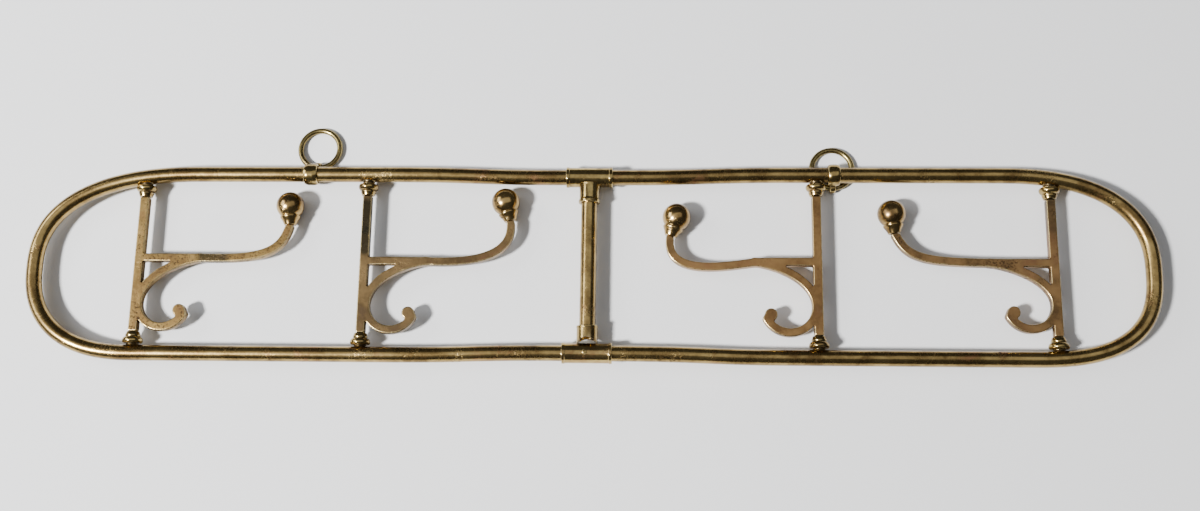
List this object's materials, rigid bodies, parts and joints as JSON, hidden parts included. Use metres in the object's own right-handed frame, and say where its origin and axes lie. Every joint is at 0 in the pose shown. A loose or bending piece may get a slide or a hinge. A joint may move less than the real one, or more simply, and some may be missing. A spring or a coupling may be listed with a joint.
{
  "type": "hat and coat rack",
  "caption": "Long oval tube frame with a centre post, swivelling coat hooks with ball finials, and hanging rings clipped to the top rail.",
  "frame": {"origin": "on the surface that the rack lies on, under the middle of its outline, rings included", "axes": "+X along the rails, towards the end with the second clip; +Y across the rails, up the wall when the rack hangs; +Z off the surface, away from the wall"},
  "size_m": [0.8374, 0.1824, 0.0209],
  "materials": {
    "aged_tube": "aged drawn tube, olive gold with brown bands and coppery patches",
    "turned_fitting": "turned and rubbed bright, dark in the grooves",
    "cast_hook": "sand cast, satin orange brown with dark pits and bright edges",
    "finial_ball": "polished, with a brown tarnish",
    "ring_wire": "round wire, greenish gold",
    "pivot_pin": "dull dark steel"
  },
  "bodies": {
    "frame": {"left_frame_tube": "aged_tube", "right_frame_tube": "aged_tube", "top_coupling_sleeve": "turned_fitting", "bottom_coupling_sleeve": "turned_fitting", "sleeve_rivet": "turned_fitting", "top_post_socket": "turned_fitting", "bottom_post_socket": "turned_fitting", "centre_post": "aged_tube", "hook_1_top_boss": "turned_fitting", "hook_1_top_pin": "pivot_pin", "hook_1_bottom_boss": "turned_fitting", "hook_1_bottom_pin": "pivot_pin", "hook_2_top_boss": "turned_fitting", "hook_2_top_pin": "pivot_pin", "hook_2_bottom_boss": "turned_fitting", "hook_2_bottom_pin": "pivot_pin", "hook_3_top_boss": "turned_fitting", "hook_3_top_pin": "pivot_pin", "hook_3_bottom_boss": "turned_fitting", "hook_3_bottom_pin": "pivot_pin", "hook_4_top_boss": "turned_fitting", "hook_4_top_pin": "pivot_pin", "hook_4_bottom_boss": "turned_fitting", "hook_4_bottom_pin": "pivot_pin"},
    "hook_1": {"hook_1_casting": "cast_hook", "hook_1_finial": "finial_ball", "hook_1_finial_stud": "pivot_pin", "hook_1_top_collar": "turned_fitting", "hook_1_bottom_collar": "turned_fitting"},
    "hook_2": {"hook_2_casting": "cast_hook", "hook_2_finial": "finial_ball", "hook_2_finial_stud": "pivot_pin", "hook_2_top_collar": "turned_fitting", "hook_2_bottom_collar": "turned_fitting"},
    "hook_3": {"hook_3_casting": "cast_hook", "hook_3_finial": "finial_ball", "hook_3_finial_stud": "pivot_pin", "hook_3_top_collar": "turned_fitting", "hook_3_bottom_collar": "turned_fitting"},
    "hook_4": {"hook_4_casting": "cast_hook", "hook_4_finial": "finial_ball", "hook_4_finial_stud": "pivot_pin", "hook_4_top_collar": "turned_fitting", "hook_4_bottom_collar": "turned_fitting"},
    "clip_1": {"clip_1": "turned_fitting"},
    "clip_2": {"clip_2": "turned_fitting"},
    "ring_1": {"ring_1": "ring_wire"},
    "ring_2": {"ring_2": "ring_wire"}
  },
  "joints": [
    {"name": "hook_1_swing", "type": "hinge", "parent": "frame", "child": "hook_1", "pos_m": [-0.333, -0.01706, 0.01162], "axis": [0, -1, 0], "range_deg": [0, 165]},
    {"name": "hook_2_swing", "type": "hinge", "parent": "frame", "child": "hook_2", "pos_m": [-0.1632, -0.01706, 0.01162], "axis": [0, -1, 0], "range_deg": [0, 165]},
    {"name": "hook_3_swing", "type": "hinge", "parent": "frame", "child": "hook_3", "pos_m": [0.1714, -0.01706, 0.01162], "axis": [0, 1, 0], "range_deg": [0, 165]},
    {"name": "hook_4_swing", "type": "hinge", "parent": "frame", "child": "hook_4", "pos_m": [0.342, -0.01706, 0.01162], "axis": [0, 1, 0], "range_deg": [0, 165]},
    {"name": "clip_1_turn", "type": "hinge", "parent": "frame", "child": "clip_1", "pos_m": [-0.2072, 0.05144, 0.01162], "axis": [1, 0, 0], "range_deg": [0, 110]},
    {"name": "clip_2_turn", "type": "hinge", "parent": "frame", "child": "clip_2", "pos_m": [0.1848, 0.05144, 0.01162], "axis": [1, 0, 0], "range_deg": [0, 110]},
    {"name": "ring_1_swing", "type": "hinge", "parent": "clip_1", "child": "ring_1", "pos_m": [-0.2043, 0.0591, 0.00367], "axis": [1, 0, 0], "range_deg": [0, 80]},
    {"name": "ring_2_swing", "type": "hinge", "parent": "clip_2", "child": "ring_2", "pos_m": [0.1848, 0.04378, 0.00367], "axis": [1, 0, 0], "range_deg": [-90, 0]}
  ]
}
